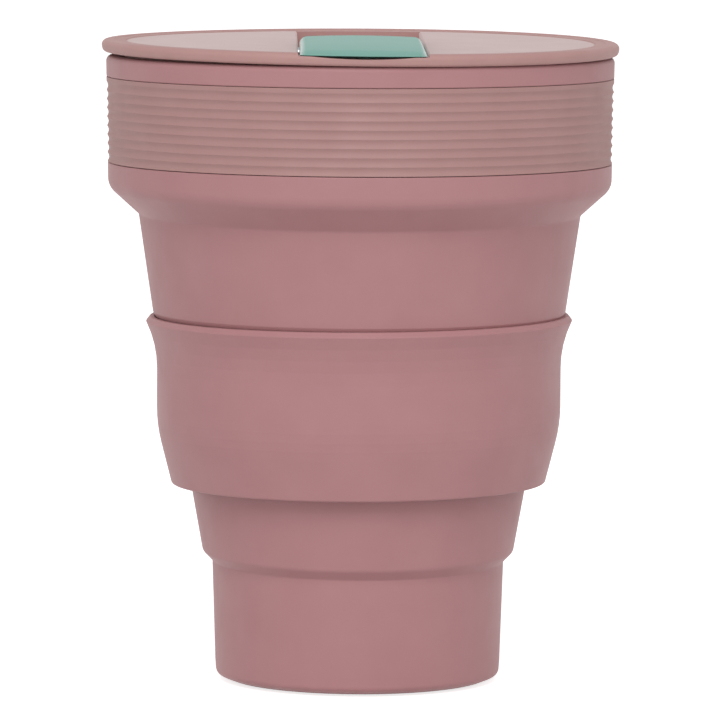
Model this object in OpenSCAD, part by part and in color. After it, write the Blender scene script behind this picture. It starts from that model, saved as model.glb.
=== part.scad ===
// Collapsible travel cup: a stepped silicone cup that folds into itself, with a ribbed
// grip collar, a heat sleeve and a push-in lid that has a hinged sip flap.
// The cup stands on Z = 0 with its axis on Z. The flap opens at the front, towards -Y.

/* [Cup] */
// Height of the cup's mouth above the foot
cup_h = 111.4; // [108:0.1:118]

/* [Base tier] */
// Outer radius of the base at the foot, before its corner is rounded
base_r = 25.3; // [22:0.05:28]
// Height of the stiff base tier
base_h = 12; // [9:0.5:15]
// Draft of the base wall in degrees
base_draft = 1.85; // [0.5:0.05:4]
// Wall thickness of the base tier
base_wall = 1.7; // [1.3:0.1:2.4]
// Thickness of the cup's floor
floor_t = 2.4; // [1.8:0.1:3.5]
// Radius of the rounded foot corner
foot_corner_r = 3.8; // [2:0.1:5]
// Radius of the hollow under the foot
foot_hollow_r = 18.5; // [12:0.5:20]
// Depth of the hollow under the foot
foot_hollow_d = 0.8; // [0.4:0.1:1.2]

/* [Lower fold and lower tier] */
// Height of the base wall that belongs to the lower fold
lower_fold_wall_h = 9.5; // [7:0.5:12]
// Radial room between the base and the lower tier when they nest
lower_gap = 0.5; // [0.35:0.01:1.2]
// Height of the stiff lower tier
lower_h = 16; // [12:0.5:20]
// Wall thickness of the lower tier
lower_wall = 1.4; // [1.1:0.1:2]
// Draft of the lower tier in degrees
lower_draft = 10.2; // [6:0.1:12]

/* [Middle fold and middle tier] */
// Height of the lower tier's wall that belongs to the middle fold
middle_fold_wall_h = 2.5; // [1.5:0.1:4]
// Radial room between the lower and the middle tier when they nest
middle_gap = 1.15; // [1:0.05:3]
// Height of the stiff middle tier
middle_h = 19.4; // [16:0.1:24]
// Wall thickness of the middle tier
middle_wall = 1.7; // [1.3:0.1:2.4]
// Radial flare at the top of the middle tier, which seats the sleeve
middle_flare = 2.63; // [1.8:0.01:3.2]
// Height of the flared stretch of the middle tier
middle_flare_h = 4.9; // [4:0.1:6]

/* [Upper fold and upper tier] */
// Height of the visible wall between the sleeve and the shoulder
upper_fold_wall_h = 17.5; // [13:0.5:22]
// Draft of that wall in degrees
upper_fold_draft = 8.4; // [5:0.1:11]
// Radial room between the folded wall and the upper tier
upper_gap = 3; // [2.4:0.1:5]
// Wall thickness of the upper tier at its foot
upper_wall = 2.45; // [2.1:0.05:3.5]
// Draft of the upper tier's outside in degrees
upper_draft = 1; // [0:0.1:2]

/* [Folds] */
// Thickness of the silicone in the folds
fold_t = 1.1; // [0.8:0.05:1.3]
// Slope of the lower fold's shoulder in degrees from level
lower_slope = 43; // [30:1:55]
// Radius of the lower fold's inner bend
lower_bend_round = 1; // [0.5:0.1:2]
// Radius of the lower fold's outer bend
lower_shoulder_round = 1.4; // [1.2:0.1:2]
// Slope of the middle fold's shoulder in degrees from level
middle_slope = 45; // [30:1:55]
// Radius of the middle fold's bends
middle_round = 1.5; // [1.3:0.1:2.5]
// Slope of the upper fold's shoulder in degrees from level
upper_slope = 42; // [30:1:55]
// Radius of the upper fold's inner bend
upper_bend_round = 1.6; // [1:0.1:3]
// Radius of the upper fold's outer bend
upper_shoulder_round = 3; // [1.5:0.1:4]

/* [Grip collar] */
// Height of the ribbed collar
collar_h = 15; // [12:0.1:18]
// Thickness of the collar
collar_t = 1.5; // [1.1:0.1:1.8]
// Height of the collar above the upper tier's foot
collar_rise = 2.85; // [1.5:0.05:3.2]
// Number of full flutes round the collar
flutes = 9; // [5:1:12]
// Plain margin above the flutes
flute_margin = 0.8; // [0.4:0.1:1.5]
// Depth of a flute
flute_d = 0.26; // [0.1:0.02:0.4]
// Room between the collar and its groove
collar_gap = 0.12; // [0.05:0.01:0.2]

/* [Heat sleeve] */
// Thickness of the sleeve's wall
sleeve_wall = 1.6; // [1.2:0.1:2.2]
// Room between the sleeve and the middle tier
sleeve_gap = 0.3; // [0.2:0.05:0.5]
// How far the sleeve hangs below the top of the lower tier
sleeve_hang = 4.7; // [3:0.1:8]
// Height of the tapered foot of the sleeve
sleeve_taper_h = 10.4; // [9:0.1:14]
// Taper of the sleeve's foot in degrees
sleeve_taper = 14.3; // [8:0.1:17]
// Radial flare of the sleeve's lip
lip_flare = 1.98; // [1.5:0.02:2.4]
// Height of the rounded edge of the sleeve's lip
lip_h = 1.1; // [0.8:0.05:1.4]
// Room between the lip and the middle tier
lip_gap = 0.3; // [0.15:0.05:0.5]
// Drop of the sleeve's flare below the flare of the middle tier
flare_drop = 0.75; // [0.3:0.05:1]
// Drop of the lip below the top of the middle tier
lip_drop = 0.5; // [0.1:0.05:0.8]
// Size of the rounding along the sleeve's hem
hem_edge = 0.45; // [0.2:0.05:0.7]

/* [Lid] */
// Overhang of the lid's rim past the cup's mouth
lid_over = 0.87; // [0.5:0.01:3]
// Height of the lid's rim above the cup's mouth
lid_rim_h = 2.75; // [2.4:0.05:4]
// Width of the lid's raised rim
lid_rim_w = 4.9; // [4.2:0.1:5.2]
// Width of the flat crest of the rim
rim_crest_w = 1.5; // [1:0.1:1.8]
// Size of the rounding along the rim's edge
rim_edge = 1; // [0.6:0.05:1.1]
// Size of the rounding along the rim's lower edge
rim_low_edge = 0.35; // [0.2:0.05:0.6]
// Height of the shadow gap under the rim's overhang
rim_gap = 0.3; // [0.15:0.05:0.5]
// Width of the overhang above the shadow gap
rim_overhang = 1.8; // [1.4:0.1:2.2]
// Depth of the lid's top panel below the rim
panel_drop = 0.5; // [0.3:0.05:0.9]
// Thickness of the lid's top panel
panel_t = 1.8; // [1.4:0.1:2.4]
// Gap between the lid and the cup's mouth
lid_gap = 0.1; // [0.05:0.05:0.3]
// Depth of the skirt that plugs into the cup
skirt_h = 8.5; // [7:0.1:11]
// Thickness of the skirt
skirt_t = 1.7; // [1.5:0.1:2.2]
// Room between the skirt and the cup's mouth
skirt_gap = 0.35; // [0.25:0.05:0.6]
// Height of the seal ring
seal_h = 2.6; // [2:0.1:3.2]
// Depth of the seal ring's groove
seal_groove_d = 0.8; // [0.6:0.05:1]
// Height of the rim wall above the seal ring
seal_drop = 3; // [2:0.1:4]
// Gap between the seal ring and the cup's mouth
seal_gap = 0.05; // [0.02:0.01:0.1]

/* [Sip flap] */
// Width of the flap
flap_w = 22.3; // [18:0.1:26]
// Room beside the flap in its channel
flap_gap = 0.3; // [0.2:0.05:0.6]
// Distance of the flap's front edge behind the lid's edge
flap_setback = 1.2; // [0.8:0.1:2.5]
// Thickness of the flap's top and side walls
flap_t = 1.6; // [1.2:0.1:2]
// Radius of the crown across the flap
crown_r = 200; // [120:10:400]
// Radius of the flap's rounded long edges
flap_edge_r = 1.5; // [0.8:0.1:1.7]
// Radius of the flap's rolled front edge
flap_roll_r = 2.6; // [2:0.1:3.2]
// Depth of the flap's channel below the panel
channel_d = 5.4; // [5.2:0.1:6.5]
// Thickness of the channel's floor and walls
channel_t = 1.7; // [1.4:0.1:2.2]
// Radius of the rounded edges along the channel
channel_edge_r = 0.4; // [0.2:0.05:0.6]
// Gap between the flap and the channel's floor
channel_gap = 0.7; // [0.5:0.05:0.9]
// Depth of the notch in the front rim, below the panel
notch_d = 0.45; // [0.3:0.05:1]
// Gap between the flap and the notch below it
notch_gap = 0.1; // [0.05:0.05:0.4]
// Depth of the finger scoop in the notch
scoop_d = 0.4; // [0.2:0.05:0.6]
// Radius of the hinge pin
pin_r = 1; // [0.7:0.1:1.2]
// Distance of the hinge pin in front of the cup's axis
hinge_y = 2.5; // [2:0.1:4]
// Depth of the hinge pin's axis below the panel
hinge_d = 1.85; // [1.7:0.05:2.2]
// Running room between the pin and the flap
pin_gap = 0.06; // [0.03:0.01:0.1]
// Length of the pin held in each side of the lid
pin_hold = 3.4; // [2:0.1:4]
// Width of the sip hole
sip_w = 14; // [10:0.5:16]
// Length of the sip hole from front to back
sip_l = 6; // [5:0.1:7]
// Distance of the sip hole behind the channel's front wall
sip_inset = 7.25; // [6.5:0.25:10]
// Radius of the air vent
vent_r = 1; // [0.6:0.1:1.5]
// Distance of the air vent in front of the cup's axis
vent_y = 12; // [9:0.5:15]
// Room between the seal's plugs and their holes
plug_gap = 0.35; // [0.3:0.05:0.6]
// Depth of the seal's plugs in their holes
plug_d = 0.6; // [0.4:0.1:0.9]
// Thickness of the seal's strip
strip_t = 1.2; // [0.9:0.1:1.6]
// Width of the seal's flange round a plug
strip_rim = 1.2; // [0.8:0.1:1.8]

/* [Hidden] */
$fn = 96;
// Steps in a rounded corner
corner_steps = 6;
// Room left between two pieces that are seated in each other
seat_gap = 0.02;
// Distance by which a cut runs past the face that it opens
cut_over = 1;
// Straight stretch above a fold's shoulder, as a share of the wall above it
fold_lip_share = 0.6;
// Largest share of a side that a rounded corner may take up, and the same for a long flare
corner_share = 0.48;
flare_share = 0.94;

// Colours of the finishes
silicone_colour = "#ae7e80";
collar_colour = "#a8817f";
lid_colour = "#b58c88";
mint_colour = "#7aaa9e";
seal_colour = "#d9d4cf";
steel_colour = "#b9bcc0";

// Heights of the tiers and folds, from the foot up
base_top = base_h;
lower_bend = base_top + lower_fold_wall_h;
lower_bend_r = base_wall_r(lower_bend);
lower_foot_r = lower_bend_r + lower_gap + lower_wall;
lower_foot = lower_bend + (lower_foot_r - lower_bend_r) * tan(lower_slope) + fold_lip(lower_wall);
lower_top = lower_foot + lower_h;
middle_bend = lower_top + middle_fold_wall_h;
middle_bend_r = lower_wall_r(middle_bend);
middle_r = middle_bend_r + middle_gap + middle_wall;
middle_foot = middle_bend + (middle_r - middle_bend_r) * tan(middle_slope) + fold_lip(middle_wall);
middle_top = middle_foot + middle_h;
middle_top_r = middle_r + middle_flare;
upper_bend = middle_top + upper_fold_wall_h;
upper_bend_r = middle_top_r + upper_fold_wall_h * tan(upper_fold_draft);
mouth_r = upper_bend_r + upper_gap;
upper_foot_r = mouth_r + upper_wall;
upper_foot = upper_bend + (upper_foot_r - upper_bend_r) * tan(upper_slope) + fold_lip(upper_wall);
upper_top = cup_h;

// Collar and sleeve
collar_foot = upper_foot + collar_rise;
collar_top = collar_foot + collar_h;
flute_pitch = (collar_h - flute_margin) / flutes;
sleeve_r = middle_r + sleeve_gap + sleeve_wall;
sleeve_foot = lower_top - sleeve_hang;
sleeve_top = middle_top - lip_drop;
sleeve_bend = sleeve_foot + sleeve_taper_h;
flare_bend = middle_top - middle_flare_h;

// Lid, from the gap above the cup's mouth up
lid_foot = upper_top + lid_gap;
rim_foot = lid_foot + rim_gap;
rim_top = lid_foot + lid_rim_h;
panel_z = rim_top - panel_drop;
lid_r = upper_wall_r(upper_top) + lid_over;
panel_r = lid_r - lid_rim_w;
skirt_r = mouth_r - skirt_gap;
skirt_in_r = skirt_r - skirt_t;
skirt_foot = lid_foot - skirt_h;
seal_top = lid_foot - seal_drop;
seal_foot = seal_top - seal_h;
channel_w = flap_w + 2 * flap_gap;
channel_z = panel_z - channel_d;
notch_z = panel_z - notch_d;

// Flap and hinge
hinge_z = panel_z - hinge_d;
barrel_r = channel_d - hinge_d - channel_gap / 2;
crown_z = hinge_z + barrel_r - 2 * seat_gap;
flap_reach = lid_r - flap_setback;
flap_foot = channel_z + channel_gap;
flap_lip_z = notch_z + notch_gap;
pin_l = channel_w + 2 * pin_hold;
strip_z = channel_z + channel_gap / 2;
sip_y = skirt_in_r - sip_inset;

// Radius of the base wall's outside at height z
function base_wall_r(z) = base_r + z * tan(base_draft);
// Radius of the lower tier's outside at height z
function lower_wall_r(z) = lower_foot_r + (z - lower_foot) * tan(lower_draft);
// Radius of the upper tier's outside at height z
function upper_wall_r(z) = upper_foot_r + (z - upper_foot) * tan(upper_draft);
// Straight stretch that a fold keeps above its shoulder, for a tier with this wall
function fold_lip(wall) = fold_lip_share * wall;

function unit(v) = v / norm(v);

// Points on an arc of radius r round centre, between two angles
function arc(centre, r, from, to, steps) =
    [for (i = [0:steps]) centre + r * [cos(from + (to - from) * i / steps), sin(from + (to - from) * i / steps)]];

// Arc that rounds corner b of the path a, b, c, with its radius limited to a share of the shorter side
function rounded_corner(a, b, c, r, share = corner_share) =
    let (
        u = unit(a - b),
        v = unit(c - b),
        half = acos(max(-1, min(1, u * v))) / 2,
        reach = share * min(norm(a - b), norm(c - b)),
        size = min(r, reach * tan(half)),
        centre = b + unit(u + v) * size / sin(half),
        start = b + u * size / tan(half) - centre,
        end = b + v * size / tan(half) - centre,
        from = atan2(start[1], start[0]),
        turn = atan2(end[1], end[0]) - from
    )
    arc(centre, size, from, from + turn - 360 * round(turn / 360), corner_steps);

// Closed outline from corners [radius, height, rounding], with a corner's own share as a fourth value
function rounded_outline(corners) =
    let (n = len(corners), flat = [for (c = corners) [c[0], c[1]]])
    [for (i = [0:n - 1])
        each corners[i][2] > 0
            ? rounded_corner(flat[(i + n - 1) % n], flat[i], flat[(i + 1) % n], corners[i][2],
                             is_undef(corners[i][3]) ? corner_share : corners[i][3])
            : [flat[i]]];

// Ring or disc turned from an outline of corners
module turned(corners) {
    rotate_extrude() polygon(rounded_outline(corners));
}

// Corner b of the path a, b, c moved towards the axis by t, for a path that climbs
function inset_corner(a, b, c, t) =
    let (
        u = unit(b - a),
        v = unit(c - b),
        nu = [-u[1], u[0]],
        nv = [-v[1], v[0]]
    )
    b + (nu + nv) * t / (1 + nu * nv);

// Thin fold between a lower tier that ends at foot and an upper tier that starts at head:
// a drafted wall up to bend, a shoulder, and a short straight stretch below the upper tier
module fold(foot, bend, shoulder, head, round_in, round_out) {
    bend_in = inset_corner(foot, bend, shoulder, fold_t);
    shoulder_in = inset_corner(bend, shoulder, head, fold_t);
    turned([
        [foot[0], foot[1], 0],
        [bend[0], bend[1], round_in],
        [shoulder[0], shoulder[1], round_out],
        [head[0], head[1], 0],
        [head[0] - fold_t, head[1], 0],
        [shoulder_in[0], shoulder_in[1], round_out - fold_t],
        [bend_in[0], bend_in[1], round_in + fold_t],
        [foot[0] - fold_t, foot[1], 0]
    ]);
}

// Stiff dish that the cup stands on, with a shallow hollow under its foot
module base_tier() {
    top_r = base_wall_r(base_top);
    color(silicone_colour) turned([
        [0, foot_hollow_d, 0],
        [foot_hollow_r - foot_hollow_d, foot_hollow_d, foot_hollow_d / 2],
        [foot_hollow_r, 0, foot_hollow_d / 2],
        [base_r, 0, foot_corner_r],
        [top_r, base_top, 0],
        [top_r - base_wall, base_top, base_wall / 4],
        [base_r - base_wall, floor_t, foot_corner_r - base_wall / 2],
        [0, floor_t, 0]
    ]);
}

// Wall and step above the base, which roll up between the base and the lower tier
module lower_fold() {
    shoulder = lower_foot - fold_lip(lower_wall);
    color(silicone_colour) fold(
        [base_wall_r(base_top), base_top], [lower_bend_r, lower_bend],
        [lower_wall_r(shoulder), shoulder], [lower_foot_r, lower_foot],
        lower_bend_round, lower_shoulder_round
    );
}

// Stiff ring below the sleeve
module lower_tier() {
    top_r = lower_wall_r(lower_top);
    color(silicone_colour) turned([
        [lower_foot_r, lower_foot, 0],
        [top_r, lower_top, 0],
        [top_r - lower_wall, lower_top, lower_wall / 4],
        [lower_foot_r - lower_wall, lower_foot, lower_wall / 4]
    ]);
}

// Fold hidden by the sleeve
module middle_fold() {
    shoulder = middle_foot - fold_lip(middle_wall);
    color(silicone_colour) fold(
        [lower_wall_r(lower_top), lower_top], [middle_bend_r, middle_bend],
        [middle_r, shoulder], [middle_r, middle_foot],
        middle_round, middle_round
    );
}

// Stiff ring that carries the sleeve, flared at its top to seat it
module middle_tier() {
    flare_round = 22;
    color(silicone_colour) turned([
        [middle_r, middle_foot, 0],
        [middle_r, flare_bend, flare_round],
        [middle_top_r, middle_top, 0],
        [middle_top_r - middle_wall, middle_top, middle_wall / 4],
        [middle_r - middle_wall, flare_bend, flare_round + middle_wall],
        [middle_r - middle_wall, middle_foot, middle_wall / 4]
    ]);
}

// Visible wall above the sleeve, with the sloping shoulder under the upper tier
module upper_fold() {
    shoulder = upper_foot - fold_lip(upper_wall);
    color(silicone_colour) fold(
        [middle_top_r, middle_top], [upper_bend_r, upper_bend],
        [upper_wall_r(shoulder), shoulder], [upper_foot_r, upper_foot],
        upper_bend_round, upper_shoulder_round
    );
}

// Mouth of the cup, with a groove round it for the collar
module upper_tier() {
    groove_foot = collar_foot - collar_gap;
    groove_top = collar_top + collar_gap;
    edge = 0.25;
    color(silicone_colour) turned([
        [upper_foot_r, upper_foot, 0],
        [upper_wall_r(groove_foot), groove_foot, edge],
        [upper_wall_r(groove_foot) - collar_t - seat_gap, groove_foot, 0],
        [upper_wall_r(groove_top) - collar_t - seat_gap, groove_top, 0],
        [upper_wall_r(groove_top), groove_top, edge],
        [upper_wall_r(upper_top), upper_top, 4 * edge],
        [mouth_r, upper_top, 2 * edge],
        [mouth_r, upper_foot, 2 * edge]
    ]);
}

// Outside of the collar at flute number i from the foot, where share runs from 0 to 1 across it
function flute_point(i, share) =
    let (z = collar_foot + (i + share) * flute_pitch)
    [upper_wall_r(z) - flute_d * sin(180 * share), z];

// Hard ring with flutes scooped round it, seated in the upper tier's groove
module grip_collar() {
    flute_steps = 6;
    scoops = [for (i = [0:flutes - 1]) for (s = [0:flute_steps - 1]) flute_point(i, s / flute_steps)];
    edge = [
        [upper_wall_r(collar_top - flute_margin), collar_top - flute_margin],
        [upper_wall_r(collar_top), collar_top],
        [upper_wall_r(collar_top) - collar_t, collar_top],
        [upper_wall_r(collar_foot) - collar_t, collar_foot]
    ];
    color(collar_colour) rotate_extrude() polygon(concat(scoops, edge));
}

// Soft sleeve with a flared lip and a tapered foot that hangs open round the lower tier
module heat_sleeve() {
    belly_round = 26;
    flare_round = 24;
    lip_share = 0.9;
    lip_r = sleeve_r + lip_flare;
    lip_in_r = middle_top_r + lip_gap;
    foot_r = sleeve_r - sleeve_taper_h * tan(sleeve_taper);
    in_r = sleeve_r - sleeve_wall;
    in_shift = sleeve_wall * tan(sleeve_taper / 2);
    in_foot_r = in_r - (sleeve_taper_h + in_shift) * tan(sleeve_taper);
    color(silicone_colour) turned([
        [in_foot_r, sleeve_foot, hem_edge],
        [foot_r, sleeve_foot, hem_edge],
        [sleeve_r, sleeve_bend, belly_round],
        [sleeve_r, flare_bend - flare_drop, flare_round, flare_share],
        [lip_r, sleeve_top - lip_h, 0],
        [lip_r, sleeve_top, lip_h, lip_share],
        [lip_in_r, sleeve_top, 0],
        [in_r, flare_bend, flare_round],
        [in_r, sleeve_bend + in_shift, belly_round - sleeve_wall]
    ]);
}

// Lid's rim, panel and skirt, with a groove round the skirt for the seal
module lid_turning() {
    under = panel_z - panel_t;
    groove_r = skirt_r - seal_groove_d;
    crest_r = lid_r - rim_edge - rim_crest_w;
    step = panel_drop / 2;
    turned([
        [0, under, 0],
        [skirt_in_r, under, skirt_t / 3],
        [skirt_in_r, skirt_foot, skirt_t / 6],
        [skirt_r - skirt_t / 3, skirt_foot, skirt_t / 6],
        [skirt_r, skirt_foot + skirt_t / 2, 0],
        [skirt_r, seal_foot, 0],
        [groove_r, seal_foot, 0],
        [groove_r, seal_top, 0],
        [skirt_r, seal_top, 0],
        [skirt_r, lid_foot, 0],
        [lid_r - rim_overhang, lid_foot, 0],
        [lid_r - rim_overhang, rim_foot, rim_gap / 2],
        [lid_r, rim_foot, rim_low_edge],
        [lid_r, rim_top, rim_edge],
        [crest_r, rim_top, step],
        [crest_r - step, rim_top - step, step],
        [panel_r + step, rim_top - step, step],
        [panel_r, panel_z, step],
        [0, panel_z, 0]
    ]);
}

// Box on the lid's centre line from height z0 up to z1, ended by a cylinder of radius r
module lid_block(w, r, z0, z1) {
    intersection() {
        translate([-w / 2, -lid_r, z0]) cube([w, 2 * lid_r, z1 - z0]);
        translate([0, 0, z0]) cylinder(r = r, h = z1 - z0);
    }
}

// Slot with round ends, w across and l from front to back
module slot(w, l) {
    square([w - l, l], center = true);
    for (side = [-1, 1]) translate([side * (w - l) / 2, 0]) circle(d = l);
}

// Cylinder along X, centred on the hinge axis
module on_hinge(r, l) {
    translate([0, -hinge_y, hinge_z]) rotate([0, 90, 0]) cylinder(r = r, h = l, center = true);
}

// One side of the channel's section, with the panel's edge rounded
function channel_side(side) =
    rounded_corner(
        [side, channel_z], [side, panel_z], [side + 4 * channel_edge_r, panel_z], channel_edge_r
    );

// Cut for the channel, ending on the inside of the skirt at both ends
module channel() {
    right = channel_side(channel_w / 2);
    top = [channel_w / 2 + channel_edge_r, rim_top + cut_over];
    half = concat([[channel_w / 2, channel_z]], right, [top]);
    left = [for (i = [len(half) - 1:-1:0]) [-half[i][0], half[i][1]]];
    intersection() {
        rotate([90, 0, 0]) linear_extrude(2 * lid_r, center = true) polygon(concat(half, left));
        translate([0, 0, channel_z - cut_over]) cylinder(r = skirt_in_r, h = channel_d + 4 * cut_over);
    }
}

// Cut through the front rim under the flap's lip, with a shallow finger scoop in its floor
module front_notch() {
    scoop_w = 0.8 * channel_w;
    scoop_r = (pow(scoop_w / 2, 2) + pow(scoop_d, 2)) / (2 * scoop_d);
    back = skirt_in_r - channel_w / 4;
    translate([-channel_w / 2, -lid_r - cut_over, notch_z])
        cube([channel_w, lid_r - back + cut_over, rim_top - notch_z + cut_over]);
    translate([0, -back, notch_z + scoop_r - scoop_d]) rotate([90, 0, 0])
        cylinder(r = scoop_r, h = lid_r - back + cut_over, $fn = 360);
}

// Lid with the channel that the flap lies in, the front notch, sip hole, vent and pin holes
module lid_shell() {
    tray_w = channel_w + 2 * channel_t;
    boss_w = pin_l + 2 * channel_t;
    boss_l = 2 * (pin_r + channel_t);
    boss_z = hinge_z - pin_r - channel_t;
    color(lid_colour) difference() {
        union() {
            lid_turning();
            lid_block(tray_w, skirt_in_r + seat_gap, channel_z - channel_t, panel_z - panel_t / 2);
            translate([-boss_w / 2, -hinge_y - boss_l / 2, boss_z])
                cube([boss_w, boss_l, panel_z - panel_t / 2 - boss_z]);
        }
        channel();
        front_notch();
        translate([0, -sip_y, channel_z - channel_t - cut_over])
            linear_extrude(channel_t + 2 * cut_over) slot(sip_w, sip_l);
        translate([0, -vent_y, channel_z - channel_t - cut_over])
            cylinder(r = vent_r, h = channel_t + 2 * cut_over);
        on_hinge(pin_r + seat_gap, pin_l + 2 * seat_gap);
    }
}

// Soft ring in the skirt's groove, with two sealing ribs
module lid_seal() {
    back_r = skirt_r - seal_groove_d + seat_gap;
    rib_r = mouth_r - seal_gap;
    valley_r = skirt_r - seat_gap;
    rib_h = (seal_h - 2 * seat_gap) / 4;
    foot = seal_foot + seat_gap;
    rib_round = seal_groove_d / 12;
    color(seal_colour) turned([
        [back_r, foot, 0],
        [valley_r, foot, 0],
        [rib_r, foot + rib_h, rib_round],
        [valley_r, foot + 2 * rib_h, rib_round],
        [rib_r, foot + 3 * rib_h, rib_round],
        [valley_r, foot + 4 * rib_h, 0],
        [back_r, foot + 4 * rib_h, 0]
    ]);
}

// Steel pin held in the lid on both sides of the channel
module hinge_pin() {
    color(steel_colour) on_hinge(pin_r, pin_l);
}

// Section across the flap, w wide: an arched top that lies drop under the flap's top, with long edges
// rounded to edge_r
module crown_section(w, drop, edge_r) {
    arch = crown_z - drop - crown_r;
    side = w / 2 - edge_r;
    edge = arch + sqrt(pow(crown_r - edge_r, 2) - pow(side, 2));
    lean = acos(side / (crown_r - edge_r));
    foot = flap_foot - 2 * cut_over;
    crown = arc([0, arch], crown_r, lean, 180 - lean, 2 * corner_steps);
    polygon(concat(
        [[w / 2, foot]],
        arc([side, edge], edge_r, 0, lean, corner_steps),
        [for (i = [1:len(crown) - 2]) crown[i]],
        arc([-side, edge], edge_r, 180 - lean, 180, corner_steps),
        [[-w / 2, foot]]
    ));
}

// Solid below the crown, from the front of the lid to its back
module under_crown(w, drop, edge_r) {
    rotate([90, 0, 0]) linear_extrude(2 * lid_r, center = true) crown_section(w, drop, edge_r);
}

// Solid behind the flap's rolled front, from height foot up
module behind_front(foot) {
    turned([
        [0, foot, 0],
        [flap_reach, foot, 0],
        [flap_reach, crown_z + seat_gap, flap_roll_r],
        [0, crown_z + seat_gap, 0]
    ]);
}

// Flap as a full block: a front lip over the notch and a deeper body in the channel
module flap_block() {
    step = skirt_in_r - flap_gap;
    top = crown_z + cut_over;
    intersection() {
        union() {
            translate([-flap_w / 2, -flap_reach, flap_lip_z])
                cube([flap_w, flap_reach - hinge_y, top - flap_lip_z]);
            intersection() {
                translate([-flap_w / 2, -step, flap_foot]) cube([flap_w, step - hinge_y, top - flap_foot]);
                translate([0, 0, flap_foot]) cylinder(r = step, h = top - flap_foot);
            }
        }
        under_crown(flap_w, 0, flap_edge_r);
        behind_front(flap_foot);
    }
}

// Hollow inside the flap, open below and walled by flap_t
module flap_hollow() {
    front = skirt_in_r - flap_gap - flap_t;
    back = hinge_y + barrel_r;
    foot = flap_foot - cut_over;
    w = flap_w - 2 * flap_t;
    intersection() {
        translate([-w / 2, -front, foot]) cube([w, front - back, crown_z - foot]);
        translate([0, 0, foot]) cylinder(r = front, h = crown_z - foot);
        under_crown(w, flap_t, flap_edge_r / 2);
    }
}

// Crowned flap: a hollow moulding that turns on the pin, with seats for its seal
module sip_flap() {
    seat_z = strip_z + strip_t;
    color(mint_colour) difference() {
        union() {
            difference() {
                flap_block();
                flap_hollow();
            }
            intersection() {
                on_hinge(barrel_r, flap_w + cut_over);
                under_crown(flap_w, 0, flap_edge_r);
            }
            intersection() {
                under_crown(flap_w - flap_t, flap_t / 2, flap_edge_r / 2);
                translate([0, 0, seat_z]) linear_extrude(crown_z - seat_z) seal_outline();
            }
        }
        on_hinge(pin_r + pin_gap, flap_w + cut_over);
    }
}

// Outline of the seal's strip: a flange round each plug, joined by a bar
module seal_outline() {
    translate([0, -sip_y]) slot(sip_w + 2 * strip_rim - 2 * plug_gap, sip_l + 2 * strip_rim - 2 * plug_gap);
    translate([0, -vent_y]) circle(r = vent_r + strip_rim);
    translate([-vent_r, -sip_y]) square([2 * vent_r, sip_y - vent_y]);
}

// Soft strip under the flap, with a plug for the sip hole and one for the vent
module flap_seal() {
    plug_foot = channel_z - plug_d;
    color(seal_colour) {
        translate([0, 0, strip_z]) linear_extrude(strip_t) seal_outline();
        translate([0, -sip_y, plug_foot]) linear_extrude(strip_z - plug_foot + strip_t / 2)
            slot(sip_w - 2 * plug_gap, sip_l - 2 * plug_gap);
        translate([0, -vent_y, plug_foot])
            cylinder(r = vent_r - plug_gap, h = strip_z - plug_foot + strip_t / 2);
    }
}

base_tier();
lower_fold();
lower_tier();
middle_fold();
middle_tier();
upper_fold();
upper_tier();
grip_collar();
heat_sleeve();
lid_shell();
lid_seal();
hinge_pin();
sip_flap();
flap_seal();
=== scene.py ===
# A collapsible travel cup: four silicone tiers that push down into each other on three thin folds,
# a fluted collar round the mouth, a loose heat sleeve, and a lid with a hinged sip flap.
# Sizes in the settings are millimetres, the same as in the part's source. Meshes are in metres.
import math

import bpy
import numpy as np
from mathutils import Matrix, Vector


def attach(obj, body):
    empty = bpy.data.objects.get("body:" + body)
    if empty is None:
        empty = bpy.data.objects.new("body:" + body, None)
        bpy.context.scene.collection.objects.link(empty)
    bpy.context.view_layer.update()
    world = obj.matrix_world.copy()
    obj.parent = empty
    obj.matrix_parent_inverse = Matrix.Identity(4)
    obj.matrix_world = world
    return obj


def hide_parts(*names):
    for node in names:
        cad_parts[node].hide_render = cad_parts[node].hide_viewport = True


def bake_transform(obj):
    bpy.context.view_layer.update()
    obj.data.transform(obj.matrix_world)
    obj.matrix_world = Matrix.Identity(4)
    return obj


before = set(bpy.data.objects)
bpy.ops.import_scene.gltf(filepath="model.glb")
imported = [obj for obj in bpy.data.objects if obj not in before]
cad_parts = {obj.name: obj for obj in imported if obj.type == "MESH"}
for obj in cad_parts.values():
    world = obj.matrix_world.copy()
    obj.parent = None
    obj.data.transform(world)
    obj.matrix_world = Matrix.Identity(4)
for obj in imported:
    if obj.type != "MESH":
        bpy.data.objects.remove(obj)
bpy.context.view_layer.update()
mm = 0.001


# Camera: a long lens a little above the lid and a hair to the left, rolled slightly clockwise.
# Its clip distances are metres.
cameraSet = dict(place=(-14.2, -1100.0, 158.0), aim=(0.2, 0.0, 57.15), lens=309.9, sensor=36.0, roll=0.31,
                 clip=(0.1, 60.0))


def makeCamera():
    data = bpy.data.cameras.new("photoCamera")
    data.lens, data.sensor_width = cameraSet["lens"], cameraSet["sensor"]
    data.clip_start, data.clip_end = cameraSet["clip"]
    cam = bpy.data.objects.new("photoCamera", data)
    place, aim = Vector(cameraSet["place"]) * mm, Vector(cameraSet["aim"]) * mm
    turn = (aim - place).to_track_quat("-Z", "Y").to_matrix()
    cam.matrix_world = Matrix.Translation(place) @ (
        turn @ Matrix.Rotation(math.radians(cameraSet["roll"]), 3, "Z")).to_4x4()
    bpy.context.scene.collection.objects.link(cam)
    bpy.context.scene.camera = cam


makeCamera()
print("camera set")


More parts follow.
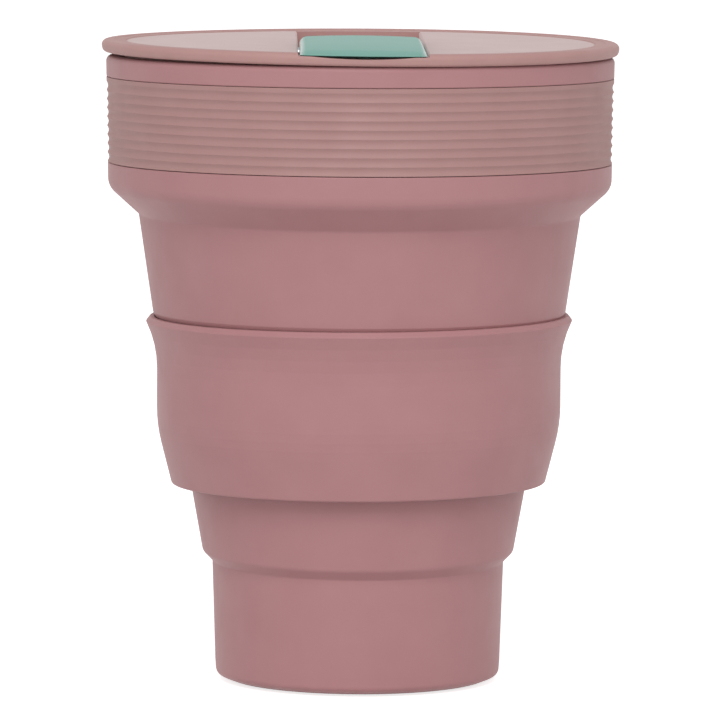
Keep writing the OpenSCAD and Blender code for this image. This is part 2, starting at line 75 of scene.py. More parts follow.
# sRGB hex to linear colour, by the sRGB curve
def linearColour(code):
    c = np.array([int(code[i:i + 2], 16) for i in (1, 3, 5)]) / 255
    return (*np.where(c <= 0.04045, c / 12.92, ((c + 0.055) / 1.055) ** 2.4).tolist(), 1.0)


# Adds one node. Inputs are values or sockets, by name or number; the rest are the node's own settings.
def addNode(tree, kind, inputs=None, **settings):
    node = tree.nodes.new(kind)
    for key, value in settings.items():
        setattr(node, key, value)
    for key, value in (inputs or {}).items():
        if isinstance(value, bpy.types.NodeSocket):
            tree.links.new(value, node.inputs[key])
        else:
            node.inputs[key].default_value = value
    return node


# Line through corners (r, z, rounding, share). A rounding becomes an arc that touches both sides, with its
# centre on their bisector, and takes at most its share of the shorter side, or the usual share when none is
# given. Straight stretches then get points every step, and one close to each end. Arc steps are degrees.
lineSet = dict(share=0.48, arcStep=6.0, leastSteps=4, same=1e-6, digits=6, longFrom=3.0, nearTo=0.6)


def roundedLine(corners, closed=True, step=1.5, close=0.12):
    c = np.array([(*corner, lineSet["share"])[:4] for corner in corners], float)
    last, parts = len(c) - 1, []
    for i, (b, size, share) in enumerate(zip(c[:, :2], c[:, 2], c[:, 3])):
        if size <= 0 or (not closed and i in (0, last)):
            parts.append(b[None])
            continue
        u, v = c[i - 1, :2] - b, c[(i + 1) % len(c), :2] - b
        lengths = np.hypot(*u), np.hypot(*v)
        u, v = u / lengths[0], v / lengths[1]
        half = math.acos(np.clip(u @ v, -1, 1)) / 2
        size = min(size, share * min(lengths) * math.tan(half))
        centre = b + (u + v) / np.hypot(*(u + v)) * size / math.sin(half)
        ends = [b + w * size / math.tan(half) - centre for w in (u, v)]
        a0, a1 = (math.atan2(e[1], e[0]) for e in ends)
        sweep = (a1 - a0 + math.pi) % (2 * math.pi) - math.pi
        steps = max(lineSet["leastSteps"], round(abs(math.degrees(sweep)) / lineSet["arcStep"]))
        a = a0 + sweep * np.linspace(0, 1, steps + 1)
        parts.append(centre + size * np.stack([np.cos(a), np.sin(a)], 1))
    line = np.concatenate(parts)
    if closed:
        line = np.concatenate([line, line[:1]])
    gap = np.hypot(*np.diff(line, axis=0).T)
    apart = gap > lineSet["same"]
    line, gap = line[np.concatenate([[True], apart])], gap[apart]
    along = np.concatenate([[0], np.cumsum(gap)])
    long = gap > lineSet["longFrom"] * close
    extra = np.concatenate([np.arange(step, along[-1], step),
                            along[:-1][long] + close, along[1:][long] - close])
    extra = extra[np.abs(extra[:, None] - along[None]).min(1) > lineSet["nearTo"] * close]
    stations = np.unique(np.round(np.concatenate([along, extra]), lineSet["digits"]))
    line = np.stack([np.interp(stations, along, line[:, k]) for k in (0, 1)], 1)
    return line[:-1] if closed else line


# Mesh object from vertices in millimetres and faces of four, three or any number of corners
def meshPiece(name, verts, quads, tris=None, caps=()):
    tris = np.zeros((0, 3), int) if tris is None else tris
    mesh = bpy.data.meshes.new(name)
    corners = np.concatenate([quads.ravel(), tris.ravel(), *caps]).astype(np.int32)
    sizes = np.array([4] * len(quads) + [3] * len(tris) + [len(cap) for cap in caps])
    starts = np.cumsum(sizes) - sizes
    mesh.vertices.add(len(verts))
    mesh.vertices.foreach_set("co", (verts * mm).astype(np.float32).ravel())
    mesh.loops.add(len(corners))
    mesh.loops.foreach_set("vertex_index", corners)
    mesh.polygons.add(len(starts))
    mesh.polygons.foreach_set("loop_start", starts.astype(np.int32))
    mesh.update(calc_edges=True)
    mesh.validate()
    piece = bpy.data.objects.new(name, mesh)
    bpy.context.scene.collection.objects.link(piece)
    return piece


# Smooth faces, with edges past the angle left sharp
def smoothFaces(piece, angle=32):
    piece.data.shade_smooth()
    piece.data.set_sharp_from_angle(angle=math.radians(angle))
    return piece


# Quads between neighbouring rows of an index grid, turned over when flip is set
def gridFaces(index, wrapRows, wrapColumns, flip=False):
    rows = np.concatenate([index, index[:1]]) if wrapRows else index
    rows = np.concatenate([rows, rows[:, :1]], 1) if wrapColumns else rows
    quads = np.stack([rows[:-1, :-1], rows[:-1, 1:], rows[1:, 1:], rows[1:, :-1]], -1).reshape(-1, 4)
    return quads[:, ::-1] if flip else quads


# Turned piece: each point (r, z) of the line goes round the axis, x = r sin a, y = -r cos a.
# A closed line gives a ring. An open one starts and ends on the axis, where its poles are closed.
def turnedPiece(name, line, closed=True, segments=192):
    r, z = line.T
    nextPoint = np.roll(line, -1, 0)
    flip = np.sum(r * nextPoint[:, 1] - nextPoint[:, 0] * z) < 0
    a = np.linspace(0, 2 * math.pi, segments, endpoint=False)
    ring = slice(None) if closed else slice(1, -1)
    rr, zz = r[ring, None], z[ring, None]
    grid = np.stack([rr * np.sin(a), -rr * np.cos(a), zz + 0 * a], -1)
    index = np.arange(grid.shape[0] * segments).reshape(-1, segments)
    verts, quads, tris = grid.reshape(-1, 3), gridFaces(index, closed, True, flip), None
    if not closed:
        poles = len(verts) + np.arange(2)
        verts = np.concatenate([verts, [[0, 0, z[0]], [0, 0, z[-1]]]])
        rows = np.stack([index[0], index[-1]])
        after = np.roll(rows, -1, 1)
        tris = np.concatenate([
            np.stack([np.full(segments, poles[0]), after[0], rows[0]], -1),
            np.stack([np.full(segments, poles[1]), rows[1], after[1]], -1)])
        tris = tris[:, ::-1] if flip else tris
    return smoothFaces(meshPiece(name, verts, quads, tris))


# Solid carried across x: row i of y and z is an anticlockwise outline at x[i], and the end ones are filled.
def acrossPiece(name, x, y, z):
    grid = np.stack([np.broadcast_to(np.asarray(x, float)[:, None], y.shape), y, z], -1)
    index = np.arange(y.size).reshape(y.shape)
    return meshPiece(name, grid.reshape(-1, 3), gridFaces(index, False, True),
                     caps=[index[0][::-1], index[-1]])


# Solid across x whose outline at each x is a rectangle from front to back and from low to high
def columnSolid(name, x, front, back, low, high):
    x, front, back, low, high = np.broadcast_arrays(x, front, back, low, high)
    return acrossPiece(name, x, np.stack([front, back, back, front], 1), np.stack([low, low, high, high], 1))


# Round rod along x, from -half to half
def rodAcross(name, half, radius, y, z, steps=48):
    a = np.linspace(0, 2 * math.pi, steps, endpoint=False)
    ends = np.ones((2, 1))
    return acrossPiece(name, [-half, half], y + radius * np.cos(a) * ends, z + radius * np.sin(a) * ends)


# Slot-shaped stack: at each (radius, z) of its levels the outline is a slot about the centre,
# x = +-half + radius cos a, y = radius sin a, and the first and last outlines are filled.
def slotStack(name, centre, half, levels, steps=48):
    radius, z = np.array(levels, float).T[:, :, None]
    a = np.linspace(-math.pi / 2, math.pi / 2, steps)
    a = np.concatenate([a, a + math.pi])
    side = np.where(np.arange(2 * steps) < steps, half, -half)
    grid = np.stack([centre[0] + side + radius * np.cos(a), centre[1] + radius * np.sin(a), z + 0 * a], -1)
    index = np.arange(grid.shape[0] * 2 * steps).reshape(-1, 2 * steps)
    lower, upper = index[0], index[-1]
    here = np.arange(steps - 1)
    across = 2 * steps - 1 - here
    quads = np.concatenate([
        gridFaces(index, False, True),
        np.stack([lower[here], lower[across], lower[across - 1], lower[here + 1]], -1),
        np.stack([upper[here], upper[here + 1], upper[across - 1], upper[across]], -1)])
    return meshPiece(name, grid.reshape(-1, 3), quads)


# Joins a shape to a piece, or cuts it away, and removes the shape
def combine(piece, shape, how):
    step = piece.modifiers.new("combine", "BOOLEAN")
    step.operation, step.object, step.solver = how, shape, "EXACT"
    shaped = piece.evaluated_get(bpy.context.evaluated_depsgraph_get())
    mesh = bpy.data.meshes.new_from_object(shaped)
    piece.modifiers.clear()
    piece.data = mesh
    bpy.data.objects.remove(shape)
    return piece


# Moulded material: a base colour clouded towards a second one, a roughness that wanders with it,
# and a fine grit as bump. Sizes of the patterns are millimetres.
patternSet = dict(cloudDetail=4.0, cloudRough=0.6, cloudLow=0.3, cloudHigh=0.7, gritDetail=2.0, gritRough=0.5)


def mouldedMaterial(name, colour, cloudColour, cloudMm, roughness, roughSpread, gritMm, gritHigh, ior,
                    sheen=0.0, sheenRough=0.5, metallic=0.0):
    s = patternSet
    material = bpy.data.materials.new(name)
    material.use_nodes = True
    tree = material.node_tree
    tree.nodes.clear()
    place = addNode(tree, "ShaderNodeTexCoord").outputs["Object"]
    cloud = addNode(tree, "ShaderNodeTexNoise", {
        "Vector": place, "Scale": 1 / (cloudMm * mm), "Detail": s["cloudDetail"],
        "Roughness": s["cloudRough"]}).outputs["Fac"]
    grit = addNode(tree, "ShaderNodeTexNoise", {
        "Vector": place, "Scale": 1 / (gritMm * mm), "Detail": s["gritDetail"],
        "Roughness": s["gritRough"]}).outputs["Fac"]
    spread = addNode(tree, "ShaderNodeMapRange", {
        "Value": cloud, "From Min": s["cloudLow"], "From Max": s["cloudHigh"]}).outputs["Result"]
    tint = addNode(tree, "ShaderNodeMix", {
        0: spread, 6: linearColour(colour), 7: linearColour(cloudColour)}, data_type="RGBA").outputs[2]
    rough = addNode(tree, "ShaderNodeMapRange", {
        "Value": cloud, "From Min": s["cloudLow"], "From Max": s["cloudHigh"],
        "To Min": roughness - roughSpread, "To Max": roughness + roughSpread}).outputs["Result"]
    bump = addNode(tree, "ShaderNodeBump", {
        "Strength": 1.0, "Distance": gritHigh * mm, "Height": grit}).outputs["Normal"]
    surface = addNode(tree, "ShaderNodeBsdfPrincipled", {
        "Base Color": tint, "Roughness": rough, "IOR": ior, "Normal": bump, "Metallic": metallic,
        "Sheen Weight": sheen, "Sheen Roughness": sheenRough})
    addNode(tree, "ShaderNodeOutputMaterial", {"Surface": surface.outputs["BSDF"]})
    return material


# Moulded silicone is soft to the eye: satin, no sharp reflections, a faint bloom at grazing angles.
silicone = mouldedMaterial(
    "mouldedSilicone", "#af7f81", "#ac7c7e", cloudMm=9.0, roughness=0.55, roughSpread=0.04,
    gritMm=0.35, gritHigh=0.004, ior=1.41, sheen=0.03, sheenRough=0.4)
# Fluted polypropylene is harder and a touch greyer, with a drier surface.
collarPlastic = mouldedMaterial(
    "flutedPolypropylene", "#a9827f", "#a67f7c", cloudMm=7.0, roughness=0.62, roughSpread=0.04,
    gritMm=0.3, gritHigh=0.003, ior=1.49)
# Satin polypropylene of the lid: a plain rim, and a spark-eroded panel that looks dusted at grazing angles.
lidPlastic = mouldedMaterial(
    "satinPolypropylene", "#b48b87", "#b18884", cloudMm=8.0, roughness=0.6, roughSpread=0.04,
    gritMm=0.3, gritHigh=0.003, ior=1.49)
# Mint polypropylene of the flap: the same satin plastic, with its long edges polished smooth.
flapPlastic = mouldedMaterial(
    "mintPolypropylene", "#6ca497", "#69a194", cloudMm=8.0, roughness=0.6, roughSpread=0.03,
    gritMm=0.3, gritHigh=0.002, ior=1.49, sheen=0.15)
# Clear white silicone of the seals: milky and slightly tacky.
sealSilicone = mouldedMaterial(
    "milkySilicone", "#d9d4cf", "#d4cfc9", cloudMm=5.0, roughness=0.45, roughSpread=0.04,
    gritMm=0.3, gritHigh=0.003, ior=1.41)
# Drawn steel of the pin: bright, with fine drawing marks.
pinSteel = mouldedMaterial(
    "drawnSteel", "#b9bcc0", "#aeb1b5", cloudMm=1.5, roughness=0.3, roughSpread=0.06,
    gritMm=0.2, gritHigh=0.002, ior=1.5, metallic=1.0)


# Makes one value of a material change with the distance along the given axes, in millimetres:
# near up to the start, far beyond the end
def varyByDistance(material, value, axes, start, end, near, far):
    tree = material.node_tree
    surface = next(n for n in tree.nodes if n.type == "BSDF_PRINCIPLED")
    place = addNode(tree, "ShaderNodeTexCoord").outputs["Object"]
    along = addNode(tree, "ShaderNodeVectorMath", {0: place, 1: axes}, operation="MULTIPLY").outputs[0]
    distance = addNode(tree, "ShaderNodeVectorMath", {0: along}, operation="LENGTH").outputs["Value"]
    mapped = addNode(tree, "ShaderNodeMapRange", {
        "Value": distance, "From Min": start * mm, "From Max": end * mm, "To Min": near, "To Max": far})
    tree.links.new(mapped.outputs["Result"], surface.inputs[value])


# The dusting of the lid ends at its rim, and the polish of the flap starts at its long edges.
varyByDistance(lidPlastic, "Sheen Weight", axes=(1, 1, 0), start=41.25, end=41.55, near=0.42, far=0.0)
varyByDistance(flapPlastic, "Roughness", axes=(1, 0, 0), start=9.8, end=10.6, near=0.6, far=0.2)
print("materials made")


# Gives a piece its material and hides the CAD node that it stands for
def dress(piece, material, node):
    piece.data.materials.clear()
    piece.data.materials.append(material)
    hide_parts(node)
    return piece


# The lid, the sleeve and two shoulders of the cup sit a little askew. The lean is so slight that only heights
# change: z += y tan(front) - x tan(right). The angles are degrees: front, then right at the front edge and at
# the back edge, both as far from the axis as the reach.
leanSet = dict(lid=(0.59, 0.47, -0.05), sleeve=(0.0, -0.35, -0.35), upper=(0.95, 0.0, 0.0),
               lower=(1.4, 0.0, 0.0), reach=45.0)


def lean(piece, part):
    front, rightFront, rightBack = (math.tan(math.radians(a)) for a in leanSet[part])
    place = np.empty(len(piece.data.vertices) * 3, np.float32)
    piece.data.vertices.foreach_get("co", place)
    x, y, z = place.reshape(-1, 3).T
    back = 0.5 + y / (2 * leanSet["reach"] * mm)
    share = np.interp(z / mm, *leanSpan[part]) if part in leanSpan else 1.0
    z += share * (y * front - x * (rightFront + (rightBack - rightFront) * back))
    piece.data.vertices.foreach_set("co", place)
    piece.data.update()
    return piece


# Heights and radii that neighbouring pieces share
cup = dict(mouthZ=111.4, baseR=25.3, baseTop=12.0, baseDraft=1.85, baseWall=1.7,
           lowerBendZ=21.5, lowerSlope=43.0, lowerGap=0.5, lowerWall=1.4, lowerHigh=16.0, lowerDraft=10.2,
           middleRise=2.5, middleSlope=45.0, middleGap=1.15, middleWall=1.7, middleHigh=19.4,
           middleFlare=2.63, middleFlareHigh=4.9,
           upperRise=17.5, upperLean=8.4, upperSlope=42.0, upperGap=3.0, upperWall=2.45, upperDraft=1.0,
           foldThick=1.1, foldLip=0.6)
tan = lambda degrees: math.tan(math.radians(degrees))
innerEdge = lambda wall: wall / 4  # rounding of the inner edges of a wall
baseWallR = lambda z: cup["baseR"] + z * tan(cup["baseDraft"])
lowerBendR = baseWallR(cup["lowerBendZ"])
lowerFootR = lowerBendR + cup["lowerGap"] + cup["lowerWall"]
lowerShoulderZ = cup["lowerBendZ"] + (lowerFootR - lowerBendR) * tan(cup["lowerSlope"])
lowerFootZ = lowerShoulderZ + cup["foldLip"] * cup["lowerWall"]
lowerTopZ = lowerFootZ + cup["lowerHigh"]
lowerWallR = lambda z: lowerFootR + (z - lowerFootZ) * tan(cup["lowerDraft"])
middleBendZ = lowerTopZ + cup["middleRise"]
middleBendR = lowerWallR(middleBendZ)
middleR = middleBendR + cup["middleGap"] + cup["middleWall"]
middleShoulderZ = middleBendZ + (middleR - middleBendR) * tan(cup["middleSlope"])
middleFootZ = middleShoulderZ + cup["foldLip"] * cup["middleWall"]
middleTopZ = middleFootZ + cup["middleHigh"]
middleTopR = middleR + cup["middleFlare"]
flareZ = middleTopZ - cup["middleFlareHigh"]
upperBendZ = middleTopZ + cup["upperRise"]
upperBendR = middleTopR + cup["upperRise"] * tan(cup["upperLean"])
mouthR = upperBendR + cup["upperGap"]
upperFootR = mouthR + cup["upperWall"]
upperShoulderZ = upperBendZ + (upperFootR - upperBendR) * tan(cup["upperSlope"])
upperFootZ = upperShoulderZ + cup["foldLip"] * cup["upperWall"]
upperWallR = lambda z: upperFootR + (z - upperFootZ) * tan(cup["upperDraft"])


# Base: a dish with a drafted wall, a rounded foot and a shallow hollow under it. The foot turns up in two
# bends, given as r, z and rounding.
baseSet = dict(floor=2.4, inRound=3.5, footIn=19.6, footBends=((23.2, 0.4, 0.3), (25.25, 1.2, 1.2)),
               hollowR=18.5, hollowDeep=0.8)


def makeBase():
    s, wall = baseSet, cup["baseWall"]
    topR, d = baseWallR(cup["baseTop"]), baseSet["hollowDeep"]
    line = roundedLine([
        (0, d, 0), (s["hollowR"] - d, d, d / 2), (s["hollowR"], 0, d / 2),
        (s["footIn"], 0, 0), *s["footBends"], (baseWallR(s["inRound"]), s["inRound"], s["inRound"]),
        (topR, cup["baseTop"], 0), (topR - wall, cup["baseTop"], innerEdge(wall)),
        (cup["baseR"] - wall, s["floor"], s["inRound"]), (0, s["floor"], 0)], closed=False)
    piece = turnedPiece("baseDish", line, closed=False)
    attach(dress(piece, silicone, "base_tier"), "base")


# Fold: a thin wall that leans out to a bend, slopes over a shoulder and meets the next tier's foot.
# The inside is the same line moved in by the fold's thickness along the bisector of each bend.
# The outer bend takes up to the shoulder's share of its shorter side.
shoulderShare = 0.95
lowerFoldSet = dict(roundIn=0.6, roundOut=1.5, moveFrom=12.0)
middleFoldSet = dict(roundIn=1.5, roundOut=1.5)
upperFoldSet = dict(roundIn=1.0, roundOut=3.2, moveFrom=74.0)


def foldLine(foot, bend, shoulder, head, roundIn, roundOut, thick):
    p = np.array([foot, bend, shoulder, head], float)
    u = np.diff(p, axis=0) / np.hypot(*np.diff(p, axis=0).T)[:, None]
    normal = np.stack([-u[:, 1], u[:, 0]], 1)
    pair = normal[:-1] + normal[1:]
    inner = p[1:3] + pair * thick / (1 + np.sum(normal[:-1] * normal[1:], 1))[:, None]
    return roundedLine([
        (*foot, 0), (*bend, roundIn), (*shoulder, roundOut, shoulderShare), (*head, 0),
        (head[0] - thick, head[1], 0), (*inner[1], max(roundOut - thick, 0)), (*inner[0], roundIn + thick),
        (foot[0] - thick, foot[1], 0)], step=0.5)


def makeFolds():
    thick = cup["foldThick"]
    s = lowerFoldSet
    line = foldLine((baseWallR(cup["baseTop"]), cup["baseTop"]), (lowerBendR, cup["lowerBendZ"]),
                    (lowerWallR(lowerShoulderZ), lowerShoulderZ), (lowerFootR, lowerFootZ),
                    s["roundIn"], s["roundOut"], thick)
    piece = dress(lean(turnedPiece("lowerFold", line), "lower"), silicone, "lower_fold")
    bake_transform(piece)
    s = middleFoldSet
    line = foldLine((lowerWallR(lowerTopZ), lowerTopZ), (middleBendR, middleBendZ),
                    (middleR, middleShoulderZ), (middleR, middleFootZ), s["roundIn"], s["roundOut"], thick)
    piece = dress(turnedPiece("middleFold", line), silicone, "middle_fold")
    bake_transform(piece)
    s = upperFoldSet
    line = foldLine((middleTopR, middleTopZ), (upperBendR, upperBendZ),
                    (upperWallR(upperShoulderZ), upperShoulderZ), (upperFootR, upperFootZ),
                    s["roundIn"], s["roundOut"], thick)
    piece = dress(lean(turnedPiece("upperFold", line), "upper"), silicone, "upper_fold")
    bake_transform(piece)


# Tiers: stiff rings, the lower one leaning out, the middle one flared at its top to seat the sleeve,
# and the upper one grooved for the collar.
middleTierSet = dict(flareRound=22.0)
upperTierSet = dict(collarRise=2.85, collarHigh=15.0, collarThick=1.5, collarGap=0.12, topGap=0.06,
                    seatGap=0.02, edge=0.25, lipRound=1.0)
collarFootZ = upperFootZ + upperTierSet["collarRise"]
collarTopZ = collarFootZ + upperTierSet["collarHigh"]
# Heights over which the lean of a shoulder comes in and goes out again, and its share at each
leanSpan = dict(
    lower=((cup["baseTop"], cup["lowerBendZ"], lowerFootZ, lowerTopZ), (0, 1, 1, 0)),
    upper=((upperFoldSet["moveFrom"], upperBendZ, upperFootZ, collarFootZ - 2 * upperTierSet["edge"]),
           (0, 1, 1, 0)))


def makeTiers():
    wall, topR = cup["lowerWall"], lowerWallR(lowerTopZ)
    line = roundedLine([
        (lowerFootR, lowerFootZ, 0), (topR, lowerTopZ, 0), (topR - wall, lowerTopZ, innerEdge(wall)),
        (lowerFootR - wall, lowerFootZ, innerEdge(wall))])
    piece = lean(turnedPiece("lowerTier", line), "lower")
    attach(dress(piece, silicone, "lower_tier"), "lower")
    wall, bend = cup["middleWall"], middleTierSet["flareRound"]
    line = roundedLine([
        (middleR, middleFootZ, 0), (middleR, flareZ, bend), (middleTopR, middleTopZ, 0),
        (middleTopR - wall, middleTopZ, innerEdge(wall)), (middleR - wall, flareZ, bend + wall),
        (middleR - wall, middleFootZ, innerEdge(wall))])
    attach(dress(turnedPiece("middleTier", line), silicone, "middle_tier"), "middle")
    s = upperTierSet
    low, high = collarFootZ - s["collarGap"], collarTopZ + s["topGap"]
    deep, edge, topZ = s["collarThick"] + s["seatGap"], s["edge"], cup["mouthZ"]
    line = roundedLine([
        (upperFootR, upperFootZ, 0), (upperWallR(low), low, edge), (upperWallR(low) - deep, low, 0),
        (upperWallR(high) - deep, high, 0), (upperWallR(high), high, edge),
        (upperWallR(topZ), topZ, s["lipRound"]), (mouthR, topZ, 2 * edge), (mouthR, upperFootZ, 2 * edge)])
    piece = lean(turnedPiece("upperTier", line), "upper")
    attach(dress(piece, silicone, "upper_tier"), "upper")


# Collar: flutes scooped round it, r = wall - depth sin(pi share) across each, with sharp ridges between.
collarSet = dict(flutes=9, flat=0.8, deep=0.26, fluteSteps=12, edge=0.12)


def makeCollar():
    s = collarSet
    pitch = (upperTierSet["collarHigh"] - s["flat"]) / s["flutes"]
    count = np.arange(s["flutes"] * s["fluteSteps"]) / s["fluteSteps"]
    z = collarFootZ + count * pitch
    r = upperWallR(z) - s["deep"] * np.sin(math.pi * (count % 1))
    thick, topZ = upperTierSet["collarThick"], collarTopZ
    flatZ = topZ - s["flat"]
    edge = roundedLine([
        (upperWallR(flatZ), flatZ, 0), (upperWallR(topZ), topZ, s["edge"]),
        (upperWallR(topZ) - thick, topZ, 0), (upperWallR(collarFootZ) - thick, collarFootZ, 0)], closed=False)
    line = np.concatenate([np.stack([r, z], 1), edge])
    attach(dress(turnedPiece("gripCollar", line), collarPlastic, "grip_collar"), "upper")


# Sleeve: a soft band with a flared lip, bevelled at its top, a belly and a tapered foot that hangs open round
# the lower tier.
sleeveSet = dict(gap=0.3, wall=1.6, hang=4.7, taperHigh=10.4, taper=14.3, lipFlare=1.98, lipHigh=0.9,
                 lipDrop=0.62, lipGap=-0.18, lipIn=0.7, lipEdge=0.25, hemEdge=0.45, belly=26.0, flare=24.0,
                 flareShift=0.75, flareShare=0.94)


def makeSleeve():
    s = sleeveSet
    r, slope = middleR + s["gap"] + s["wall"], tan(s["taper"])
    footZ, topZ = lowerTopZ - s["hang"], middleTopZ - s["lipDrop"]
    bellyZ, lipR = footZ + s["taperHigh"], r + s["lipFlare"]
    innerR, shift = r - s["wall"], s["wall"] * tan(s["taper"] / 2)
    line = roundedLine([
        (innerR - (s["taperHigh"] + shift) * slope, footZ, s["hemEdge"]),
        (r - s["taperHigh"] * slope, footZ, s["hemEdge"]), (r, bellyZ, s["belly"]),
        (r, flareZ - s["flareShift"], s["flare"], s["flareShare"]), (lipR, topZ - s["lipHigh"], s["lipEdge"]),
        (lipR - s["lipIn"], topZ, s["lipEdge"]), (middleTopR + s["lipGap"], topZ, 0),
        (innerR, flareZ, s["flare"]), (innerR, bellyZ + shift, s["belly"] - s["wall"])], step=0.6)
    sleeve = lean(turnedPiece("heatSleeve", line), "sleeve")
    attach(dress(sleeve, silicone, "heat_sleeve"), "sleeve")


makeBase()
makeFolds()
makeTiers()
makeCollar()
makeSleeve()
print("cup, collar and sleeve made")


# Lid: a turned cap with a raised rim, a sunk panel and a skirt, cut by the flap's channel.
lidSet = dict(gap=0.1, over=1.0, rimHigh=2.53, rimWide=4.5, crest=1.0, edge=1.5, lowEdge=0.7, lowIn=0.5,
              rimGap=0.2, underRise=1.2, drop=0.28, panel=1.8, skirtHigh=8.5, skirt=1.7, skirtGap=0.35,
              sealHigh=2.6, sealDeep=0.8, sealDrop=3.0, channelDeep=5.4, channelWall=1.7, channelEdge=0.4,
              edgeSteps=8, notchDeep=0.3, scoopDeep=0.4, scoopShare=0.8, scoopStep=0.4, sipWide=14.0,
              sipLong=6.0, sipInset=7.25, ventR=1.0, ventY=12.0, hingeY=2.5, hingeDeep=1.85, pinR=1.0,
              pinHold=3.67, pinRoom=0.02, trayBite=0.02)
flapSet = dict(wide=21.76, gap=0.3, setback=1.33, thick=1.6, crownR=200.0, crownSteps=24, edge=1.4,
               edgeSteps=12, footRound=0.4, barrelRound=1.0, barrelIn=0.45, barrelShare=0.5, roll=6.0,
               rollRun=2.0, rollShare=0.88, lipHigh=0.4, lipRound=0.3, lipEdge=0.15, droop=1.0, droopRun=22.0,
               mostDrop=0.95, cornerIn=1.2, straightY=-20.0, channelGap=0.7, notchGap=0.1, pinGap=0.06)
sealSet = dict(strip=1.2, stripRim=1.2, plugGap=0.35, plugDeep=0.6, ribGap=0.05, seatGap=0.02, edge=0.2)
lidFootZ = cup["mouthZ"] + lidSet["gap"]
rimFootZ = lidFootZ + lidSet["rimGap"]
rimTopZ = lidFootZ + lidSet["rimHigh"]
panelZ = rimTopZ - lidSet["drop"]
lidR = upperWallR(cup["mouthZ"]) + lidSet["over"]
skirtR = mouthR - lidSet["skirtGap"]
skirtInR = skirtR - lidSet["skirt"]
skirtFootZ = lidFootZ - lidSet["skirtHigh"]
sealTopZ = lidFootZ - lidSet["sealDrop"]
sealFootZ = sealTopZ - lidSet["sealHigh"]
channelHalf = flapSet["wide"] / 2 + flapSet["gap"]
channelZ = panelZ - lidSet["channelDeep"]
notchZ = panelZ - lidSet["notchDeep"]
hingeZ = panelZ - lidSet["hingeDeep"]
barrelR = lidSet["channelDeep"] - lidSet["hingeDeep"] - flapSet["channelGap"] / 2
flapTopZ = hingeZ + barrelR
stripZ = channelZ + flapSet["channelGap"] / 2
sipY = skirtInR - lidSet["sipInset"]
sipHalf, sipR = (lidSet["sipWide"] - lidSet["sipLong"]) / 2, lidSet["sipLong"] / 2
roundHalf = 0.0001  # half length of a slot that is as good as round
roundSteps = 24  # steps round each end of a small slot
past = 1.0  # how far a cutting shape reaches past what it cuts


# Columns of x for a shape that reaches across the channel, fine enough for its curved ends
def columnsAcross(half, step=0.9):
    return np.linspace(-half, half, 2 * math.ceil(half / step) + 1)


def makeLid():
    s = lidSet
    edge, step = s["edge"], s["drop"] / 2
    underZ, grooveR = panelZ - s["panel"], skirtR - s["sealDeep"]
    crestR, panelR = lidR - edge - s["crest"], lidR - s["rimWide"]
    t = s["skirt"]  # its edges are rounded and its foot tapered by parts of its thickness
    line = roundedLine([
        (0, underZ, 0), (skirtInR, underZ, t / 3), (skirtInR, skirtFootZ, t / 6),
        (skirtR - t / 3, skirtFootZ, t / 6), (skirtR, skirtFootZ + t / 2, 0), (skirtR, sealFootZ, 0),
        (grooveR, sealFootZ, 0), (grooveR, sealTopZ, 0), (skirtR, sealTopZ, 0),
        (skirtR, rimFootZ + s["underRise"], 0), (lidR - s["lowIn"], rimFootZ, s["lowEdge"]),
        (lidR, rimTopZ, edge), (crestR, rimTopZ, step), (crestR - step, rimTopZ - step, step),
        (panelR + step, rimTopZ - step, step), (panelR, panelZ, step), (0, panelZ, 0)],
        closed=False, step=4.0)
    lid = turnedPiece("lidShell", line, closed=False)
    wall = s["channelWall"]
    x = columnsAcross(channelHalf + wall)
    y = np.sqrt((skirtInR + s["trayBite"]) ** 2 - x ** 2)
    combine(lid, columnSolid("tray", x, -y, y, channelZ - wall, panelZ - s["panel"] / 2), "UNION")
    pinHalf, boss = channelHalf + s["pinHold"], s["pinR"] + wall
    x = columnsAcross(pinHalf + wall, step=pinHalf + wall)
    combine(lid, columnSolid("boss", x, -s["hingeY"] - boss, -s["hingeY"] + boss, hingeZ - boss,
                             panelZ - s["panel"] / 2), "UNION")
    # The channel's side rounds over into the panel along an arc: low = panel - r + sqrt(r2 - (side + r - x)2)
    r = s["channelEdge"]
    a = np.linspace(0, math.pi / 2, s["edgeSteps"] + 1)
    side = np.concatenate([[channelHalf], channelHalf + r - r * np.cos(a)])
    sideLow = np.concatenate([[channelZ], panelZ - r + r * np.sin(a)])
    inner = columnsAcross(channelHalf)[1:-1]
    x = np.concatenate([-side[::-1], inner, side])
    low = np.concatenate([sideLow[::-1], 0 * inner + channelZ, sideLow])
    y = np.sqrt(skirtInR ** 2 - x ** 2)
    combine(lid, columnSolid("channel", x, -y, y, low, rimTopZ + past), "DIFFERENCE")
    # The front notch has a shallow scoop in its floor, an arc across a share of its width
    x = columnsAcross(channelHalf, s["scoopStep"])
    half, deep = s["scoopShare"] * channelHalf, s["scoopDeep"]
    bow = (half ** 2 + deep ** 2) / (2 * deep)
    low = notchZ - np.maximum(0, np.sqrt(np.maximum(bow ** 2 - x ** 2, 0)) - bow + deep)
    combine(lid, columnSolid("notch", x, -lidR - past, -skirtInR + channelHalf / 2, low, rimTopZ + past),
            "DIFFERENCE")
    through = (channelZ - wall - past, channelZ + past)
    combine(lid, slotStack("sipHole", (0, -sipY), sipHalf, [(sipR, z) for z in through]), "DIFFERENCE")
    vent = slotStack("vent", (0, -s["ventY"]), roundHalf, [(s["ventR"], z) for z in through], roundSteps)
    combine(lid, vent, "DIFFERENCE")
    combine(lid, rodAcross("pinHole", pinHalf + s["pinRoom"], s["pinR"] + s["pinRoom"], -s["hingeY"], hingeZ),
            "DIFFERENCE")
    lean(smoothFaces(lid), "lid")
    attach(dress(lid, lidPlastic, "lid_shell"), "lid")


